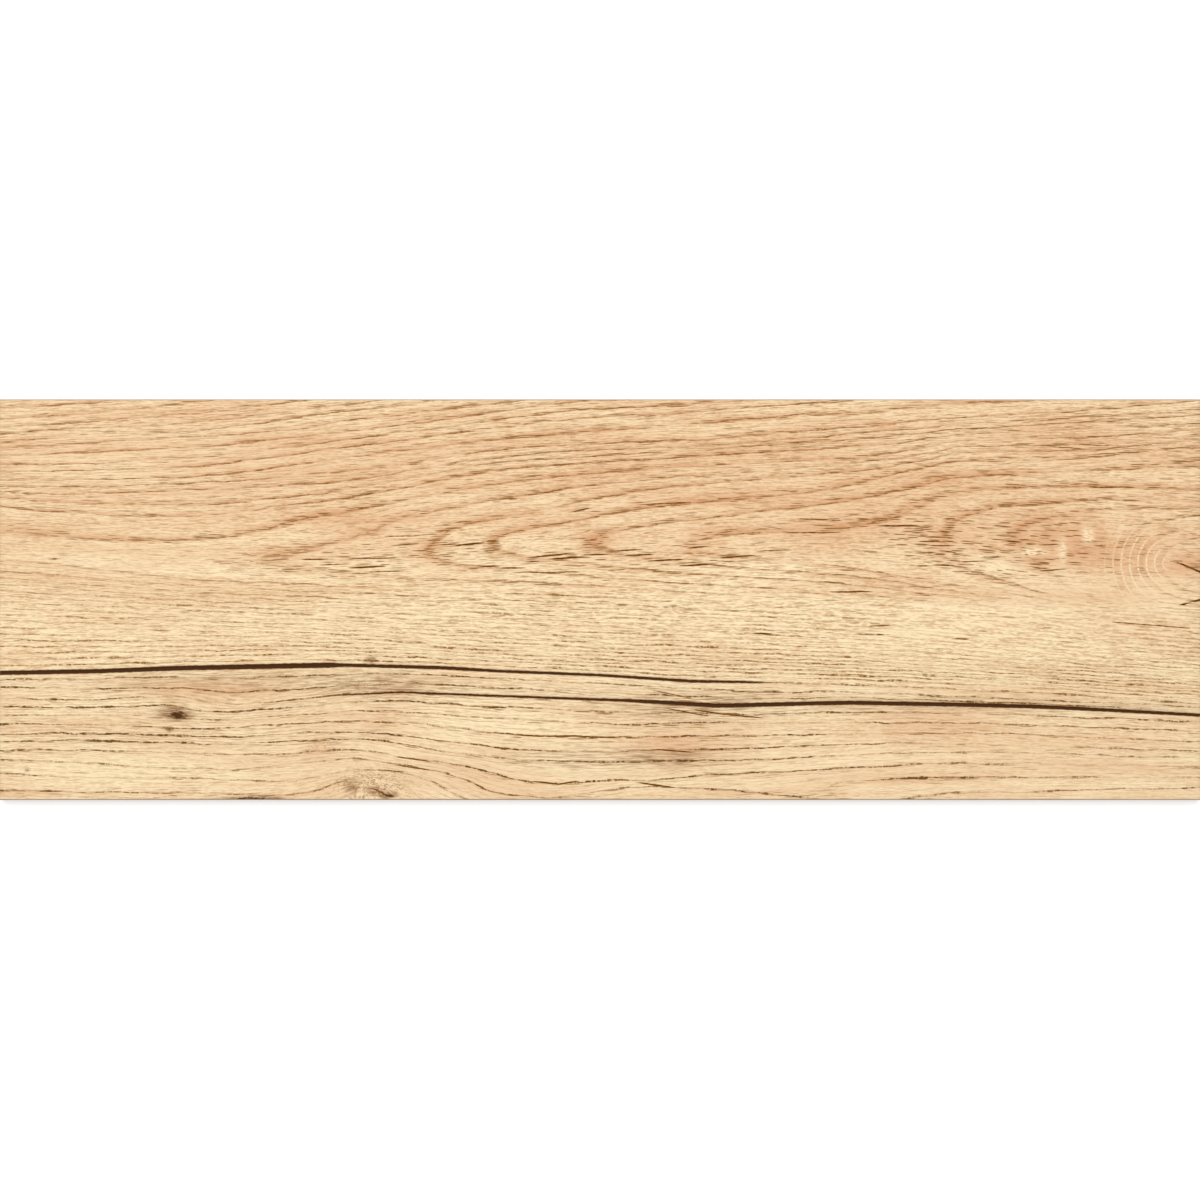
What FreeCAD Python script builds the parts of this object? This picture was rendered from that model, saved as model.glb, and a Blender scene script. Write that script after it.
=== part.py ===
# Wood look porcelain plank tile: one plate of dry-pressed, fired porcelain.
# The face carries the printed and glazed wood grain, a ground arris breaks its four edges, and the back
# is pressed with a grid of shallow recesses whose ribs key the tile into its adhesive.
# Frame: origin at the centre of the back, +X along the grain, +Z out of the printed face. Millimetres.

import FreeCAD, Part
import Sketcher
import math
import os

# Driving dimensions: alias, value, what it measures.
SIZES = [
    ("tile_length", "600", "edge to edge along the grain"),
    ("tile_width", "200", "edge to edge across the grain"),
    ("tile_thickness", "8.5", "from the ribs of the back to the face"),
    ("arris", "0.5", "width of the 45 degree break along the edges of the face"),
    ("back_margin", "10", "plain border round the recesses of the back"),
    ("back_rib", "5", "width of the rib between two recesses"),
    ("recess_depth", "0.7", "depth of a recess"),
    ("recess_corner", "3", "corner radius of a recess"),
    ("recess_draft", "30", "lean of a recess wall, in degrees, so that the press punch lets go"),
    ("recess_columns", "18", "recesses along the length"),
    ("recess_rows", "6", "recesses across the width"),
]

# The recesses share evenly what the margins and the ribs leave of the back.
RECESS_LENGTH = (
    "(Sizes.tile_length - 2 * Sizes.back_margin - (Sizes.recess_columns - 1) * Sizes.back_rib)"
    " / Sizes.recess_columns"
)
RECESS_WIDTH = (
    "(Sizes.tile_width - 2 * Sizes.back_margin - (Sizes.recess_rows - 1) * Sizes.back_rib)"
    " / Sizes.recess_rows"
)

# How a constraint names the two ends of a line or arc, and the point at a sketch's origin.
START, END = 1, 2
ORIGIN = (-1, 1)


def make_sheet(doc):
    """The spreadsheet with one aliased cell for each driving dimension."""
    sheet = doc.addObject("Spreadsheet::Sheet", "Sizes")
    for row, (alias, value, meaning) in enumerate(SIZES, start=1):
        sheet.set(f"A{row}", alias)
        sheet.set(f"B{row}", value)
        sheet.set(f"C{row}", meaning)
        sheet.setAlias(f"B{row}", alias)
    doc.recompute()
    return sheet


def origin_item(body, role):
    """The plane or axis of the body's own origin that has this role."""
    return next(item for item in body.Origin.OriginFeatures if item.Role == role)


def new_back_sketch(body, name):
    """An empty sketch on the plane of the tile's back."""
    sketch = body.newObject("Sketcher::SketchObject", name)
    sketch.AttachmentSupport = [(origin_item(body, "XY_Plane"), "")]
    sketch.MapMode = "FlatFace"
    return sketch


def constrain(sketch, *facts):
    """Adds one geometric constraint."""
    return sketch.addConstraint(Sketcher.Constraint(*facts))


def dimension(sketch, name, expression, *facts):
    """Adds one named dimension and binds it to the sheet."""
    sketch.renameConstraint(constrain(sketch, *facts), name)
    sketch.setExpression("Constraints." + name, expression)


def draw_plate(sketch, length, width):
    """The tile's rectangle about the origin: front, right, rear and left side in that order."""
    x, y = length / 2, width / 2
    corners = [FreeCAD.Vector(*place) for place in ((-x, -y, 0), (x, -y, 0), (x, y, 0), (-x, y, 0))]
    front, right, rear, left = (
        sketch.addGeometry(Part.LineSegment(corners[side], corners[(side + 1) % 4])) for side in range(4)
    )
    for side, following in ((front, right), (right, rear), (rear, left), (left, front)):
        constrain(sketch, "Coincident", side, END, following, START)
    for side in (front, rear):
        constrain(sketch, "Horizontal", side)
    for side in (right, left):
        constrain(sketch, "Vertical", side)
    constrain(sketch, "Symmetric", front, START, rear, START, *ORIGIN)
    dimension(sketch, "length", "Sizes.tile_length", "DistanceX", front, START, front, END, length)
    dimension(sketch, "width", "Sizes.tile_width", "DistanceY", right, START, right, END, width)


def draw_recess(sketch, low, high, radius):
    """The first recess, a rectangle with round corners in the back's low corner."""
    (left_x, front_y), (right_x, rear_y) = low, high
    centres = [
        (right_x - radius, front_y + radius),
        (right_x - radius, rear_y - radius),
        (left_x + radius, rear_y - radius),
        (left_x + radius, front_y + radius),
    ]
    turns = [math.radians(angle) for angle in (-90, 0, 90, 180)]
    arcs = []
    for (x, y), turn in zip(centres, turns):
        circle = Part.Circle(FreeCAD.Vector(x, y, 0), FreeCAD.Vector(0, 0, 1), radius)
        arcs.append(sketch.addGeometry(Part.ArcOfCircle(circle, turn, turn + math.pi / 2)))
    sides = []
    for corner in range(4):
        begin = sketch.getPoint(arcs[corner - 1], END)
        finish = sketch.getPoint(arcs[corner], START)
        sides.append(sketch.addGeometry(Part.LineSegment(begin, finish)))
    for corner in range(4):
        constrain(sketch, "Tangent", sides[corner], END, arcs[corner], START)
        constrain(sketch, "Tangent", arcs[corner - 1], END, sides[corner], START)
        constrain(sketch, "Horizontal" if corner % 2 == 0 else "Vertical", sides[corner])
    for arc in arcs[1:]:
        constrain(sketch, "Equal", arcs[0], arc)
    front, right, rear, left = sides
    dimension(sketch, "corner", "Sizes.recess_corner", "Radius", arcs[0], radius)
    dimension(sketch, "length", RECESS_LENGTH, "DistanceX", left, START, right, START, right_x - left_x)
    dimension(sketch, "width", RECESS_WIDTH, "DistanceY", front, START, rear, START, rear_y - front_y)
    from_left = "Sizes.tile_length / 2 - Sizes.back_margin"
    from_front = "Sizes.tile_width / 2 - Sizes.back_margin"
    dimension(sketch, "left", from_left, "DistanceX", left, START, *ORIGIN, -left_x)
    dimension(sketch, "front", from_front, "DistanceY", front, START, *ORIGIN, -front_y)


def press_plate(body, sheet):
    """The plate itself, up from its back."""
    outline = new_back_sketch(body, "PlateOutline")
    draw_plate(outline, float(sheet.tile_length), float(sheet.tile_width))
    plate = body.newObject("PartDesign::Pad", "Plate")
    plate.Profile = outline
    plate.setExpression("Length", "Sizes.tile_thickness")
    body.Document.recompute()
    return plate


def grind_arris(body, plate):
    """The 45 degree break round the printed face."""
    faces = plate.Shape.Faces
    face = max(range(len(faces)), key=lambda number: faces[number].CenterOfMass.z)
    arris = body.newObject("PartDesign::Chamfer", "Arris")
    arris.Base = (plate, [f"Face{face + 1}"])
    arris.setExpression("Size", "Sizes.arris")
    body.Document.recompute()
    return arris


def press_back(body, sheet):
    """The grid of recesses, one pocket repeated along the length and across the width."""
    columns, rows = float(sheet.recess_columns), float(sheet.recess_rows)
    margin, rib = float(sheet.back_margin), float(sheet.back_rib)
    low = (margin - float(sheet.tile_length) / 2, margin - float(sheet.tile_width) / 2)
    length = (-2 * low[0] - (columns - 1) * rib) / columns
    width = (-2 * low[1] - (rows - 1) * rib) / rows
    outline = new_back_sketch(body, "RecessOutline")
    draw_recess(outline, low, (low[0] + length, low[1] + width), float(sheet.recess_corner))

    recess = body.newObject("PartDesign::Pocket", "Recess")
    recess.Profile = outline
    recess.Reversed = True
    recess.setExpression("Length", "Sizes.recess_depth")
    recess.setExpression("TaperAngle", "-Sizes.recess_draft")
    body.Document.recompute()

    grid = body.newObject("PartDesign::LinearPattern", "RecessGrid")
    grid.Originals = [recess]
    grid.Direction = (origin_item(body, "X_Axis"), [""])
    grid.Direction2 = (origin_item(body, "Y_Axis"), [""])
    grid.setExpression("Length", f"Sizes.tile_length - 2 * Sizes.back_margin - {RECESS_LENGTH}")
    grid.setExpression("Length2", f"Sizes.tile_width - 2 * Sizes.back_margin - {RECESS_WIDTH}")
    grid.setExpression("Occurrences", "Sizes.recess_columns")
    grid.setExpression("Occurrences2", "Sizes.recess_rows")
    body.Tip = grid
    body.Document.recompute()
    return recess, grid


def check(doc, body, stages):
    """Stops the macro if a feature failed, or if one that should cut left the volume as it was."""
    for item in doc.Objects:
        if {"Invalid", "Error"} & set(item.State):
            raise RuntimeError(f"{item.Label} failed: {item.State}")
    if body.Shape.isNull() or not body.Shape.isValid() or len(body.Shape.Solids) != 1:
        raise RuntimeError(f"{body.Label} is not one valid solid")
    for before, after in zip(stages, stages[1:]):
        if not after.Shape.Volume < before.Shape.Volume:
            raise RuntimeError(f"{after.Label} cut nothing")


def main():
    doc = FreeCAD.newDocument("PlankTile")
    sheet = make_sheet(doc)
    body = doc.addObject("PartDesign::Body", "PlankTile")
    body.Label = "plank_tile"
    plate = press_plate(body, sheet)
    arris = grind_arris(body, plate)
    recess, grid = press_back(body, sheet)
    check(doc, body, [plate, arris, recess, grid])
    os.makedirs("parts", exist_ok=True)
    body.Shape.exportStep(os.path.join("parts", body.Label + ".step"))
    box = body.Shape.BoundBox
    print(f"{body.Label}: {box.XLength:.2f} x {box.YLength:.2f} x {box.ZLength:.2f} mm")
    print(f"volume {body.Shape.Volume:.0f} mm3, {len(body.Shape.Faces)} faces")


main()
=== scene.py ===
import math

import bpy
import numpy as np
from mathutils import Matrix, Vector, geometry


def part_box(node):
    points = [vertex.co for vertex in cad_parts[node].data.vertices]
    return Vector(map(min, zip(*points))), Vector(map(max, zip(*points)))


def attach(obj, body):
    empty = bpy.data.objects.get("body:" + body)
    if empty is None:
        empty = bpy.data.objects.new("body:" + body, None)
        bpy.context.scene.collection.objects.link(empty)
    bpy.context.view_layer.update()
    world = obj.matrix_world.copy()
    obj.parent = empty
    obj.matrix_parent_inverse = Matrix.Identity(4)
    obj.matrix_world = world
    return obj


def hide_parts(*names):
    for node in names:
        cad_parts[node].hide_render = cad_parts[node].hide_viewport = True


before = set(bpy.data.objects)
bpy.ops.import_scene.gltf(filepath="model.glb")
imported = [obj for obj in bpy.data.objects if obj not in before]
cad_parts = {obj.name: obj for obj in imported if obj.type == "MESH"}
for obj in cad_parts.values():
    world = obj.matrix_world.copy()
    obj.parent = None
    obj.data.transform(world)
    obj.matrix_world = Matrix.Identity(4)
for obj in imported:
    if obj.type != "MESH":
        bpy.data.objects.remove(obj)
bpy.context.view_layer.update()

# Plank tile: the pressed plate
# One plate of porcelain, pressed dry from powder and fired once, 600 x 200 x 8.5 mm.
# Its four sides are ground true after firing, and a fine arris is ground round the printed face.
MM = 0.001
TILE = "plank_tile"
_, (half_length, half_width, face_height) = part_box(TILE)
ARRIS = 0.5 * MM

# Plank tile: the printed figure
# The face is an ink-jet print of a plain-sawn oak board under a matt glaze, pressed with a slight relief.
# Cathedral points run in from the right, a knot sits on the right end and two drying checks run lengthwise.
# Every point below was picked on the photograph, in its own pixels.
PHOTO_SIDE = 1200
PHOTO_CENTRE_X, PHOTO_CENTRE_Y = 600, 599.65
PIXEL = 2 * half_length / PHOTO_SIDE

# Growth rings: a count that rises outwards from the pith, and a line along which it holds.
RINGS = [
    # arcs round the knot
    (-4, [(1200, 548), (1183, 556), (1176, 566), (1183, 577), (1200, 582)]),
    (-3, [(1200, 537), (1166, 548), (1158, 562), (1165, 580), (1180, 590), (1200, 594)]),
    (-2, [(1200, 525), (1165, 533), (1150, 543), (1142, 562), (1150, 580), (1165, 595), (1200, 602)]),
    (-1, [(1200, 515), (1170, 520), (1145, 528), (1125, 540), (1117, 556), (1122, 572), (1135, 588),
          (1160, 602), (1200, 607)]),
    # cathedral points, innermost first: upper limb from the right, point, lower limb to the right
    (0, [(1200, 508), (1100, 510), (1060, 515), (1030, 523), (1015, 530), (1010, 541), (1015, 549),
         (1050, 575), (1070, 588), (1095, 600), (1130, 606), (1200, 610)]),
    (1, [(1200, 501), (1100, 500), (1000, 506.5), (960, 516.5), (950, 526), (946, 541), (950, 558),
         (965, 566), (985, 575), (1060, 597), (1110, 606), (1200, 613)]),
    (2, [(1200, 491.5), (1140, 487), (1060, 487), (1000, 488.5), (960, 492.5), (925, 504), (900, 516),
         (840, 529.5), (720, 534.5), (700, 540), (690, 546), (705, 554.5), (750, 557.5), (850, 567.5),
         (950, 584), (1060, 602), (1120, 610), (1200, 617)]),
    (3, [(1200, 465.5), (960, 477), (880, 495), (800, 508), (760, 511), (720, 517.5), (660, 523),
         (620, 531), (600, 537), (590, 542), (597, 547), (620, 553), (660, 559), (720, 566),
         (850, 575.5), (1000, 598), (1120, 614), (1200, 620.5)]),
    (4, [(1200, 447.5), (1140, 451.5), (1080, 459.5), (1000, 462), (960, 461.5), (930, 466), (840, 487),
         (800, 494), (645, 508), (600, 516), (510, 533), (487, 547), (500, 552), (540, 558),
         (660, 571.5), (850, 584), (1000, 603), (1120, 618), (1200, 624)]),
    (5, [(1200, 441), (1140, 445), (1100, 450), (960, 453), (870, 470), (660, 488), (580, 501.5),
         (530, 513), (480, 521.5), (450, 530), (423, 553), (440, 560), (460, 565), (620, 579),
         (850, 593), (1000, 608), (1120, 623), (1200, 628)]),
    (6, [(1200, 436), (1075, 446), (960, 447), (920, 456), (880, 461), (590, 485), (520, 497),
         (480, 502), (400, 519), (350, 540), (250, 560), (300, 568), (420, 578.5), (550, 583),
         (850, 602.5), (1000, 615), (1120, 628), (1200, 633)]),
    # rings above the points
    (7, [(0, 531), (60, 537), (150, 541), (220, 538), (260, 531), (310, 518), (345, 513.5), (400, 501),
         (520, 480.5), (660, 468.5), (840, 459.5), (880, 456), (960, 441), (1140, 435), (1200, 430)]),
    (8, [(0, 505), (22, 510), (85, 513.5), (140, 516), (200, 515), (240, 512), (285, 505), (340, 499.5),
         (400, 489), (440, 480), (520, 467.5), (840, 447.5), (890, 443.5), (960, 435), (1150, 427),
         (1200, 423.5)]),
    (9, [(0, 498), (90, 504.5), (205, 506), (310, 495.5), (365, 487.5), (480, 464), (880, 438),
         (960, 429.5), (1200, 415)]),
    (10, [(0, 492), (60, 495), (240, 488.5), (310, 484), (360, 480), (480, 459.5), (545, 452.5),
          (720, 445.5), (960, 425), (1150, 414), (1200, 409)]),
    (11, [(0, 487), (120, 486.5), (240, 481), (400, 466), (480, 452.5), (530, 447.5), (720, 439),
          (780, 433), (860, 427.5), (960, 417.5), (1060, 412.5), (1200, 401.5)]),
    (12, [(0, 480), (60, 481), (200, 477), (240, 473.5), (355, 456.5), (480, 441.5), (610, 430),
          (770, 418.5), (815, 413.5), (860, 414), (920, 407), (1060, 398)]),
    (13, [(0, 472), (200, 467), (540, 422.5), (600, 417), (680, 414), (720, 409.5), (845, 401)]),
    (14, [(0, 465), (80, 465), (215, 457), (580, 410), (660, 407), (780, 399)]),
    (15, [(0, 454.5), (60, 453.5), (240, 444.5), (280, 438.5), (400, 426.5), (540, 405.5), (600, 401)]),
    (16, [(0, 449), (300, 430), (345, 421.5), (520, 401)]),
    (17, [(0, 443.5), (110, 433.5), (200, 432), (300, 417), (390, 407), (445, 399)]),
    (18, [(0, 434), (45, 430.5), (185, 424), (400, 399)]),
    (19, [(0, 428), (70, 424), (240, 409.5), (300, 401)]),
    (20, [(0, 420), (145, 409), (215, 400)]),
    # rings below the points
    (7, [(0, 560), (60, 564), (100, 570), (200, 580), (620, 598), (850, 611.5), (1060, 628), (1200, 639)]),
    (12, [(0, 596), (200, 606), (700, 626), (900, 637), (1100, 653), (1200, 661)]),
    (18, [(0, 634), (300, 637), (400, 641), (600, 652), (900, 663), (1200, 682)]),
    (24, [(0, 673), (330, 665), (400, 666), (600, 675), (690, 681), (850, 684), (1050, 693),
          (1200, 703)]),
    (25, [(0, 679.5), (100, 679), (180, 676), (240, 679), (300, 675.5), (400, 673), (760, 692),
          (850, 692), (1200, 707)]),
    (26, [(0, 687), (100, 689), (160, 687), (240, 692), (400, 682.5), (650, 695), (760, 699),
          (850, 697), (1200, 711)]),
    (27, [(0, 698), (80, 700), (175, 695.5), (215, 702), (240, 704), (300, 699.5), (350, 693.5),
          (400, 692), (730, 705.5), (850, 702.5), (960, 704.5), (1040, 706.5), (1200, 715)]),
    (28, [(0, 706.5), (100, 707), (175, 705), (210, 712), (240, 711), (360, 701), (400, 700.5),
          (480, 706), (560, 708.5), (600, 712), (760, 714), (850, 712), (960, 713), (1200, 722)]),
    (29, [(0, 715), (150, 715), (200, 720), (240, 719), (370, 710), (570, 722.5), (640, 724),
          (720, 722), (960, 722.5), (1200, 731)]),
    (30, [(0, 724), (100, 724), (200, 729), (340, 720.5), (410, 722), (520, 735), (600, 737.5),
          (900, 733), (1000, 733), (1200, 741.5)]),
    (31, [(0, 734), (80, 733), (240, 737), (310, 732.5), (380, 733), (520, 750), (600, 751), (720, 749),
          (880, 743), (960, 743), (1200, 751)]),
    (32, [(0, 741.5), (60, 740), (180, 742), (220, 744.5), (350, 737.5), (380, 739), (420, 747),
          (520, 760), (620, 761.5), (740, 760), (880, 753), (1000, 751.5), (1200, 758)]),
    (33, [(0, 750), (80, 750), (280, 755), (330, 749.5), (370, 749.5), (400, 757.5), (440, 761),
          (470, 767), (520, 781), (570, 784), (590, 780), (660, 780), (700, 775), (940, 763), (1200, 766)]),
    (34, [(0, 760), (90, 762.5), (150, 767), (240, 770), (355, 757), (430, 769), (460, 777), (490, 790)]),
    (35, [(0, 772), (80, 778), (200, 778), (290, 782), (345, 771), (370, 769), (400, 772), (430, 780),
          (450, 792)]),
    (36, [(0, 790), (300, 795), (330, 786), (350, 778), (372, 775), (395, 779), (415, 790), (425, 800)]),
    # the loop at the lower edge, and the ring that passes under it
    (34, [(1200, 777.5), (1000, 776.5), (900, 778), (850, 780.5), (830, 784.5), (820, 790), (825, 794),
          (840, 797)]),
    (35, [(1200, 788), (1100, 788.5), (1060, 791), (960, 792), (900, 799)]),
    (34, [(560, 797), (640, 785), (720, 789), (840, 800)]),
]

# Fibres: the height at the left end, and the way the fibre and its pores run from there.
FIBRES = [
    (405, [(0, 408), (240, 404), (480, 394), (720, 387), (1200, 378)]),
    (480, [(0, 481), (240, 479), (480, 469), (720, 462), (960, 460), (1200, 462)]),
    (555, [(0, 548), (240, 557), (360, 557), (480, 553), (720, 546), (840, 544), (960, 549),
           (1080, 557), (1200, 562)]),
    (600, [(0, 592), (240, 600), (480, 603), (840, 609), (960, 612), (1080, 622), (1200, 630)]),
    (640, [(0, 634), (300, 637), (400, 641), (600, 652), (900, 663), (1200, 682)]),
    (673, [(0, 673), (330, 665), (400, 666), (600, 675), (690, 681), (850, 684), (1050, 693), (1200, 703)]),
    (698, [(0, 698), (175, 695.5), (240, 704), (350, 693.5), (400, 692), (730, 705.5), (850, 702.5),
           (1040, 706.5), (1200, 715)]),
    (734, [(0, 734), (240, 737), (310, 732.5), (380, 733), (520, 750), (720, 749), (880, 743), (1200, 751)]),
    (755, [(0, 750), (280, 755), (350, 749.5), (400, 757.5), (520, 775), (660, 775), (940, 763),
           (1200, 766)]),
    (800, [(0, 800), (240, 803), (330, 795), (370, 783), (410, 792), (480, 812), (560, 815), (840, 795),
           (1200, 797)]),
]

# Drying checks: middle line and opening, in pixels. An opening under nothing is a check that has closed.
CHECKS = [
    [(-10, 673, 4.4), (100, 671, 4.4), (180, 668, 4.8), (330, 665, 5.2), (345, 665, 3.4), (440, 667.5, 3.6),
     (500, 671, 3.0), (600, 675, 2.8), (690, 681, 3.1), (750, 682, 2.2), (790, 682.5, -1.5)],
    [(300, 698, -2), (330, 695.5, 0.9), (400, 692, 1.9), (480, 695, 2.2), (560, 698, 2.5), (620, 700, 2.8),
     (650, 701.5, 3.7), (720, 705.5, 4.4), (800, 703.5, 4.1), (850, 702.5, 4.1), (960, 704.5, 4.1),
     (1040, 706.5, 3.9), (1100, 709.5, 3.5), (1210, 715.5, 3.2)],
]

# Soft patches of the print: centre, half length and half height in pixels, and how strong.
# Browner wood and paler wood, rings printed faintly and strongly, and the part under the knot where the
# grain of the upper half reaches down.
WARM_PATCHES = [
    (150, 440, 220, 50, 0.22), (430, 478, 220, 40, 0.12), (760, 470, 330, 45, 0.25),
    (1050, 455, 150, 35, 0.2), (940, 535, 30, 16, 0.3), (1055, 540, 60, 28, 0.4),
    (1192, 563, 22, 11, 0.6), (270, 555, 25, 8, 0.2), (360, 530, 40, 14, 0.4), (432, 550, 22, 16, 0.5),
    (595, 542, 30, 12, 0.4), (700, 545, 28, 12, 0.35), (820, 528, 60, 9, 0.15), (220, 690, 70, 10, 0.6),
    (400, 690, 30, 8, 0.6), (320, 745, 16, 14, 0.5), (665, 745, 45, 14, 0.35), (950, 730, 70, 18, 0.3),
    (1100, 740, 80, 10, 0.3), (20, 793, 60, 6, 0.6), (1110, 560, 100, 40, 0.4), (600, 525, 500, 22, 0.15),
    (100, 610, 130, 40, 0.4), (900, 490, 110, 30, 0.25), (1100, 685, 110, 30, 0.2),
    (890, 558, 110, 42, 0.22), (720, 768, 330, 30, 0.16), (380, 725, 45, 24, 0.35),
    (1010, 612, 60, 26, 0.2),
]
PALE_PATCHES = [
    (390, 640, 60, 12, 0.6), (980, 610, 220, 8, 0.4), (600, 570, 600, 14, 0.2), (560, 545, 30, 8, 0.4),
    (760, 545, 50, 8, 0.4), (160, 404, 30, 5, 0.5), (1115, 520, 10, 40, 0.3), (120, 760, 130, 18, 0.35),
    (520, 720, 60, 12, 0.3), (565, 762, 60, 13, 0.7), (610, 688, 160, 22, 0.2), (500, 622, 700, 30, 0.25),
    (925, 625, 40, 16, 0.4), (380, 635, 60, 14, 0.3),
]
FAINT_PATCHES = [
    (500, 620, 700, 26, 0.42), (1060, 612, 170, 30, 0.5), (960, 612, 90, 30, 0.35),
    (1150, 560, 75, 45, 0.75), (1150, 528, 70, 14, 0.3), (120, 580, 160, 25, 0.45),
    (150, 776, 190, 25, 0.5), (370, 765, 60, 22, 0.4), (975, 545, 70, 22, 0.3), (540, 557, 55, 7, 0.5),
    (650, 557, 60, 6, 0.5), (750, 557, 35, 5, 0.3), (460, 562, 40, 6, 0.4), (945, 540, 22, 26, 0.3),
    (130, 450, 170, 60, 0.15), (1100, 430, 110, 30, 0.2), (1050, 655, 170, 22, 0.45),
    (1020, 750, 200, 40, 0.6),
]
STRONG_PATCHES = [
    (120, 738, 170, 8, 0.6), (330, 738, 90, 8, 0.4), (700, 765, 200, 12, 0.5), (250, 700, 120, 14, 0.3),
    (900, 735, 250, 10, 0.25), (480, 715, 120, 20, 0.25), (705, 544, 35, 9, 0.7), (790, 533, 80, 6, 0.4),
    (900, 780, 90, 7, 0.6),
]
UNDER_KNOT_PATCHES = [(1040, 598, 140, 22, 1.0)]
ZONES = {
    "stain": [
        (690, 706, 70, 14, 0.95), (570, 758, 60, 12, 0.4), (400, 690, 60, 9, 0.4),
        (480, 690, 150, 10, 0.15), (900, 704, 150, 8, 0.5), (175, 713, 18, 9, 0.9),
        (1080, 709, 120, 6, 0.35), (230, 680, 130, 12, 0.6), (665, 758, 50, 10, 0.95),
        (380, 682, 50, 9, 0.5),
    ],
    "knots": [
        (178, 715, 6, 3, 1.0), (175, 713, 17, 7, 0.5), (187, 717, 9, 2.5, 0.4), (170, 729, 3, 3, 0.9),
        (216.5, 746, 1.5, 1.5, 0.8), (350, 787, 7, 8, 0.4), (375, 790, 8, 3, 0.6), (388, 795, 9, 3, 0.8),
        (368, 783, 26, 12, 0.12), (255, 798, 30, 2, 0.9), (306, 682, 2, 1.5, 0.5), (371, 660, 5, 4, 0.8),
        (28, 770, 1.5, 2, 0.5), (1195, 567, 9, 3, 0.5),
    ],
    "burl": [(372, 786, 34, 18, 1.2), (325, 744, 16, 10, 0.5), (365, 683, 30, 12, 0.5)],
    "pore_zone": [
        (360, 558, 90, 12, 0.8), (460, 545, 60, 14, 0.8), (570, 555, 80, 9, 0.9), (680, 560, 70, 9, 0.8),
        (740, 556, 40, 6, 0.7), (840, 522, 60, 8, 0.5), (930, 540, 50, 26, 0.2), (1030, 545, 90, 28, 0.2),
        (1070, 446, 50, 6, 0.2), (670, 503, 30, 4, 0.7), (850, 592, 30, 4, 0.7),
    ],
    "short_pores": [(930, 535, 60, 30, 0.8), (1040, 545, 80, 32, 1.0), (998, 566, 22, 12, 0.5)],
    "flecks": [
        (996, 567, 14, 6, 1.5), (1061, 551, 5, 16, 1.0), (1087, 535, 5, 8, 1.6), (905, 633, 45, 3.5, 0.9),
        (1030, 552, 16, 5, 1.2), (980, 556, 8, 3, 1.0), (379, 780, 13, 5, 0.7),
    ],
    "loose": [(420, 618, 420, 26, 1.0)],
    "calm": [
        (1070, 598, 110, 20, 0.9), (1165, 572, 50, 34, 0.6), (100, 560, 130, 22, 0.6),
        (160, 455, 240, 45, 0.6), (600, 760, 240, 30, 0.5),
    ],
    "arc_zone": [(1137, 564, 28, 32, 1.4)],
}
ARC_CENTRE_X, ARC_CENTRE_Y = 1170, 563
ARC_SPACING = 8.3
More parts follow.
